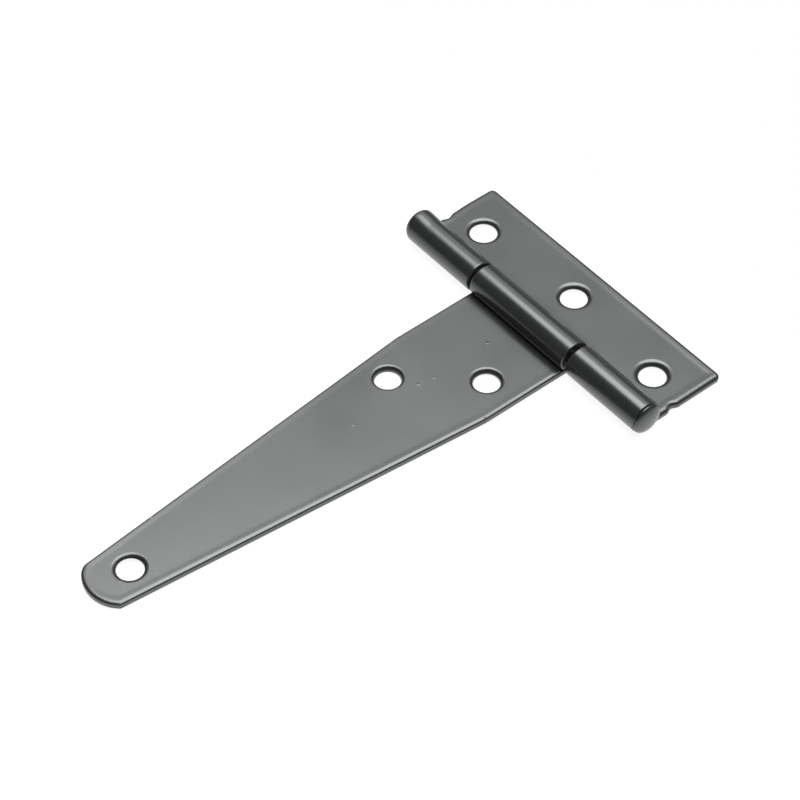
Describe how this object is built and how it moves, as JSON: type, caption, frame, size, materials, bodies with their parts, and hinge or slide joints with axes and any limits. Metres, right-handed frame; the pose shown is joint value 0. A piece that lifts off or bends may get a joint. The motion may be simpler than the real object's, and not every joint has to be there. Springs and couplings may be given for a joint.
{
  "type": "tee hinge",
  "caption": "Light tee hinge with a long tapered strap and a short rectangular leaf, rolled around a pin with domed ends, painted black.",
  "frame": {"origin": "on the back plane that both leaves share when the hinge lies open, straight under the middle of the pin", "axes": "+X along the strap towards its tip, +Y along the pin, +Z out of the front face"},
  "size_m": [0.119, 0.0666, 0.0065],
  "materials": {
    "strap_paint": "semi-gloss black paint on pressed steel",
    "leaf_paint": "semi-gloss black paint on pressed steel",
    "pin_paint": "semi-gloss black paint on a peened steel pin"
  },
  "bodies": {
    "butt": {"butt_leaf": "leaf_paint", "hinge_pin": "pin_paint"},
    "strap": {"strap_leaf": "strap_paint"}
  },
  "joints": [
    {"name": "strap_swing", "type": "hinge", "parent": "butt", "child": "strap", "pos_m": [0, 0, 0.00327], "axis": [0, -1, 0], "range_deg": [-95, 189]}
  ]
}
